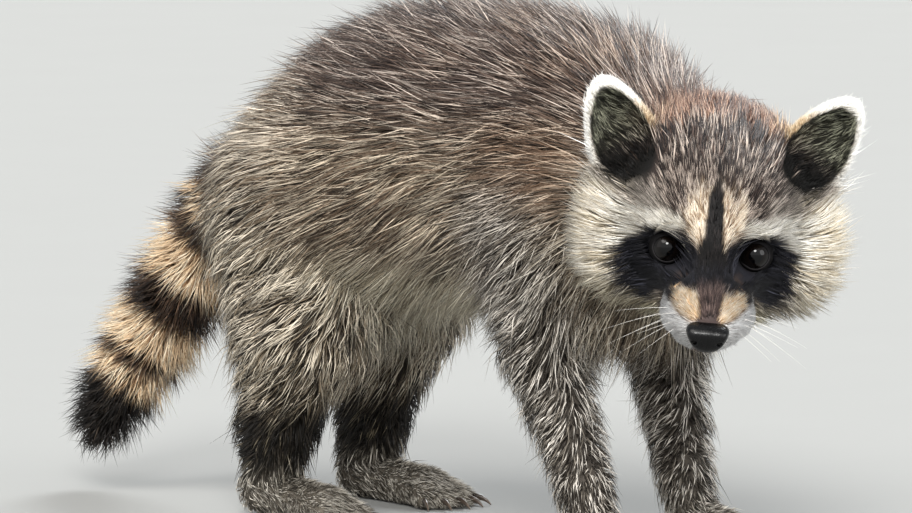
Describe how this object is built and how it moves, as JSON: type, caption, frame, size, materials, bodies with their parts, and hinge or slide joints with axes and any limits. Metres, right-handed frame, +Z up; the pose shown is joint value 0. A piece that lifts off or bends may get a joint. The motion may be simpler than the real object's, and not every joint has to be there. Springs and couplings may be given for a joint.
{
  "type": "young raccoon standing, still model",
  "caption": "Life-size young raccoon with masked face and ringed tail, standing with its back arched, head lowered and turned to its right.",
  "frame": {"origin": "on the ground under the middle of the model's length and width", "axes": "+Z up, the trunk faces -Y, the animal's left is +X; the head is turned towards -X"},
  "size_m": [0.1486, 0.4362, 0.2152],
  "materials": {
    "coat_body": "long grizzled grey-brown fur, dark at the root and tip with a buff band",
    "coat_face": "short grizzled fur with a blue-black mask, cream brows and white muzzle",
    "coat_ear": "short fur, dark inside, with a fluffy cream rim",
    "coat_leg": "dark brown fur frosted with pale strands",
    "coat_foot": "very short dark brown fur over bare soles",
    "coat_tail": "bushy fur in rings of buff and near-black brown",
    "claw": "smooth dark horn",
    "nose_pad": "moist black skin, finely pebbled",
    "eye": "wet, very dark brown"
  },
  "bodies": {
    "root": {"trunk": "coat_body", "neck": "coat_body", "head": "coat_face", "ear_left": "coat_ear", "eye_left": "eye", "ear_right": "coat_ear", "eye_right": "eye", "nose": "nose_pad", "foreleg_left_upper": "coat_body", "foreleg_left_lower": "coat_leg", "forefoot_left": "coat_foot", "forefoot_left_claw_1": "claw", "forefoot_left_claw_2": "claw", "forefoot_left_claw_3": "claw", "forefoot_left_claw_4": "claw", "forefoot_left_claw_5": "claw", "foreleg_right_upper": "coat_body", "foreleg_right_lower": "coat_leg", "forefoot_right": "coat_foot", "forefoot_right_claw_1": "claw", "forefoot_right_claw_2": "claw", "forefoot_right_claw_3": "claw", "forefoot_right_claw_4": "claw", "forefoot_right_claw_5": "claw", "hindleg_left_upper": "coat_body", "hindleg_left_lower": "coat_leg", "hindfoot_left": "coat_foot", "hindfoot_left_claw_1": "claw", "hindfoot_left_claw_2": "claw", "hindfoot_left_claw_3": "claw", "hindfoot_left_claw_4": "claw", "hindfoot_left_claw_5": "claw", "hindleg_right_upper": "coat_body", "hindleg_right_lower": "coat_leg", "hindfoot_right": "coat_foot", "hindfoot_right_claw_1": "claw", "hindfoot_right_claw_2": "claw", "hindfoot_right_claw_3": "claw", "hindfoot_right_claw_4": "claw", "hindfoot_right_claw_5": "claw", "tail_base": "coat_tail", "tail_middle": "coat_tail", "tail_tip": "coat_tail"}
  },
  "joints": []
}
